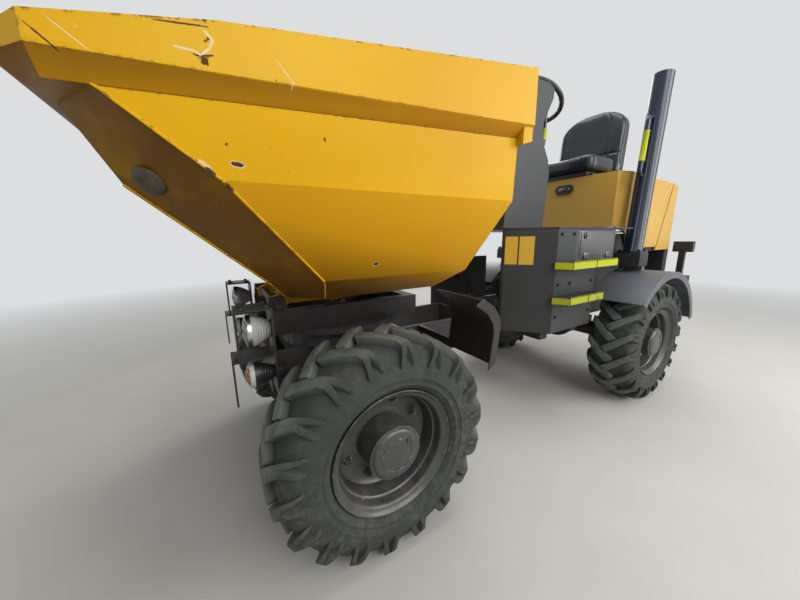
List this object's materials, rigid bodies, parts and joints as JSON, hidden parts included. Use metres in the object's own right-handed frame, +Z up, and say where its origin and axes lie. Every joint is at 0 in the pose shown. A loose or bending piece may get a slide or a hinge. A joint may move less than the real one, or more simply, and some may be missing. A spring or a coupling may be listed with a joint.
{
  "type": "articulated site dumper with a swivel skip",
  "caption": "Ride-on site dumper: jointed chassis on lugged tyres, swivelling and tipping steel skip, console, seat on the bonnet and two roll bar posts.",
  "frame": {"origin": "on the ground at mid length and mid width", "axes": "+X towards the skip end, +Y to the driver's left, +Z up"},
  "size_m": [3.442, 1.4, 2.0126],
  "materials": {
    "black_plastic": "matte",
    "body_grey": "satin",
    "bonnet_yellow": "satin",
    "chassis_grey": "matte",
    "engine_iron": "matte",
    "hose_rubber": "matte",
    "lamp_amber": "gloss",
    "lamp_clear": "gloss",
    "post_navy": "gloss",
    "rim_grey": "satin",
    "seat_vinyl": "satin",
    "skip_yellow": "satin",
    "steel_bare": "satin",
    "step_paint": "matte",
    "tyre_rubber": "matte"
  },
  "bodies": {
    "rear_body": {"rear_frame": "chassis_grey", "rear_axle": "chassis_grey", "engine_block": "engine_iron", "deck_plate": "body_grey", "side_tank_left": "body_grey", "side_tank_right": "body_grey", "battery_box": "body_grey", "console": "body_grey", "steering_column": "black_plastic", "steps": "step_paint", "rear_mudguards": "black_plastic", "rear_cowl": "bonnet_yellow", "rear_bumper": "chassis_grey", "rear_lamps": "black_plastic", "roll_bar_posts": "post_navy", "grab_handles": "post_navy", "radiator_grille": "black_plastic", "hydraulic_hoses": "hose_rubber", "pedals": "black_plastic", "control_lever": "black_plastic"},
    "bonnet_lid": {"bonnet": "bonnet_yellow", "bonnet_latch": "black_plastic", "seat_base": "black_plastic", "seat_cushion": "seat_vinyl", "seat_backrest": "seat_vinyl"},
    "steering_wheel": {"steering_wheel": "black_plastic"},
    "front_body": {"front_frame": "chassis_grey", "slew_pedestal": "body_grey", "front_axle": "chassis_grey", "front_mudguards": "black_plastic", "lamp_brackets": "chassis_grey", "headlamps": "lamp_clear", "indicators": "lamp_amber"},
    "turntable": {"turntable": "chassis_grey"},
    "skip_body": {"skip": "skip_yellow", "skip_underframe": "skip_yellow"},
    "tip_barrel": {"tip_cylinder_barrel": "steel_bare"},
    "tip_rod": {"tip_cylinder_rod": "steel_bare"},
    "steering_barrel": {"steering_cylinder_barrel": "steel_bare"},
    "steering_rod": {"steering_cylinder_rod": "steel_bare"},
    "wheel_front_left": {"tyre_front_left": "tyre_rubber", "rim_front_left": "rim_grey"},
    "wheel_front_right": {"tyre_front_right": "tyre_rubber", "rim_front_right": "rim_grey"},
    "wheel_rear_left": {"tyre_rear_left": "tyre_rubber", "rim_rear_left": "rim_grey"},
    "wheel_rear_right": {"tyre_rear_right": "tyre_rubber", "rim_rear_right": "rim_grey"}
  },
  "joints": [
    {"name": "steering", "type": "hinge", "parent": "rear_body", "child": "front_body", "pos_m": [0.069, 0, 0.56], "axis": [0, 0, 1], "range_deg": [-33, 33]},
    {"name": "skip_swivel", "type": "hinge", "parent": "front_body", "child": "turntable", "pos_m": [0.984, 0, 0.7], "axis": [0, 0, -1], "range_deg": [-90, 90]},
    {"name": "skip_tip", "type": "hinge", "parent": "turntable", "child": "skip_body", "pos_m": [1.284, 0, 0.838], "axis": [0, 1, 0], "range_deg": [0, 42]},
    {"name": "tip_barrel_swing", "type": "hinge", "parent": "turntable", "child": "tip_barrel", "pos_m": [0.869, 0, 0.56], "axis": [0, -1, 0], "range_deg": [0, 4.5]},
    {"name": "tip_rod_slide", "type": "slide", "parent": "tip_barrel", "child": "tip_rod", "axis": [0.4445, 0, 0.8958], "range_m": [0, 0.2043]},
    {"name": "steering_barrel_swing", "type": "hinge", "parent": "rear_body", "child": "steering_barrel", "pos_m": [-0.351, 0.1, 0.555], "axis": [0, 0, 1], "range_deg": [-5, 5]},
    {"name": "steering_rod_slide", "type": "slide", "parent": "steering_barrel", "child": "steering_rod", "axis": [0.9987, 0.051, 0], "range_m": [-0.068, 0.068]},
    {"name": "bonnet_hinge", "type": "hinge", "parent": "rear_body", "child": "bonnet_lid", "pos_m": [-1.5305, 0, 1.459], "axis": [0, -1, 0], "range_deg": [0, 45]},
    {"name": "steering_wheel_spin", "type": "hinge", "parent": "rear_body", "child": "steering_wheel", "pos_m": [-0.386, 0, 1.915], "axis": [-0.4695, 0, 0.8829], "continuous": true},
    {"name": "wheel_front_left_spin", "type": "hinge", "parent": "front_body", "child": "wheel_front_left", "pos_m": [1.029, 0.552, 0.392], "axis": [0, 1, 0], "continuous": true},
    {"name": "wheel_front_right_spin", "type": "hinge", "parent": "front_body", "child": "wheel_front_right", "pos_m": [1.029, -0.552, 0.392], "axis": [0, 1, 0], "continuous": true},
    {"name": "wheel_rear_left_spin", "type": "hinge", "parent": "rear_body", "child": "wheel_rear_left", "pos_m": [-0.904, 0.552, 0.392], "axis": [0, 1, 0], "continuous": true},
    {"name": "wheel_rear_right_spin", "type": "hinge", "parent": "rear_body", "child": "wheel_rear_right", "pos_m": [-0.904, -0.552, 0.392], "axis": [0, 1, 0], "continuous": true}
  ],
  "couplings": [
    {"joint": "tip_barrel_swing", "follows": "skip_tip", "ratio": 0.1},
    {"joint": "tip_rod_slide", "follows": "skip_tip", "m_per_rad": 0.2773},
    {"joint": "steering_barrel_swing", "follows": "steering", "ratio": 0.1433},
    {"joint": "steering_rod_slide", "follows": "steering", "m_per_rad": -0.1171}
  ]
}
